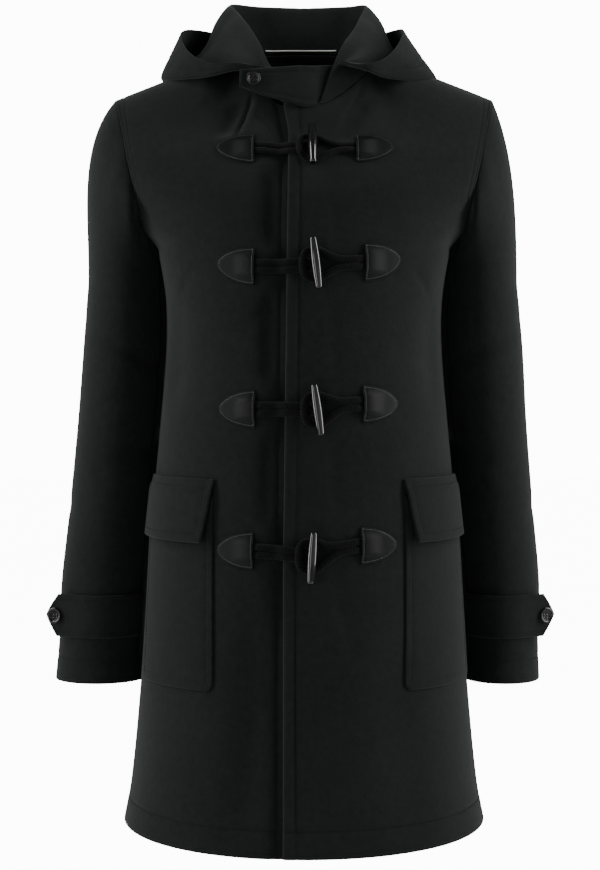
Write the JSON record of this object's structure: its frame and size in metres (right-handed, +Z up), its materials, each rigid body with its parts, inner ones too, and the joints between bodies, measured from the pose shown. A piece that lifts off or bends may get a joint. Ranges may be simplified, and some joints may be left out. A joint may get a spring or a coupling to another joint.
{
  "type": "duffle coat",
  "caption": "Knee-length hooded wool duffle coat, hollow and open at neck, hem and cuffs, with toggle fastenings, patch pockets and strapped cuffs.",
  "frame": {"origin": "middle of the neck opening, level with the inner ends of the shoulder seams, where the wearer's shoulders hold the coat", "axes": "+Z up the wearer's body, -Y out of the coat's front, +X to the wearer's left"},
  "size_m": [0.5669, 0.3385, 0.9097],
  "materials": {
    "wool": "heavy brushed wool, near black with a faint green-grey cast",
    "leather": "smooth black leather with a soft sheen",
    "cord": "black wool-covered cord",
    "horn": "polished dark horn",
    "resin": "polished black resin",
    "hanger": "thin pale cord"
  },
  "bodies": {
    "root": {"front_left": "wool", "front_right": "wool", "back": "wool", "sleeve_upper_left": "wool", "sleeve_under_left": "wool", "hood_left": "wool", "pocket_left": "wool", "pocket_flap_left": "wool", "cuff_strap_left": "wool", "sleeve_upper_right": "wool", "sleeve_under_right": "wool", "hood_right": "wool", "pocket_right": "wool", "pocket_flap_right": "wool", "cuff_strap_right": "wool", "throat_tab": "wool", "patch_left_1": "leather", "patch_left_2": "leather", "patch_left_3": "leather", "patch_left_4": "leather", "patch_right_1": "leather", "patch_right_2": "leather", "patch_right_3": "leather", "patch_right_4": "leather", "loop_cord_1": "cord", "loop_cord_2": "cord", "loop_cord_3": "cord", "loop_cord_4": "cord", "toggle_cord_1": "cord", "toggle_cord_2": "cord", "toggle_cord_3": "cord", "toggle_cord_4": "cord", "toggle_1": "horn", "toggle_2": "horn", "toggle_3": "horn", "toggle_4": "horn", "throat_button": "resin", "cuff_button_left": "resin", "cuff_button_right": "resin", "hanger_loop": "hanger"}
  },
  "joints": []
}
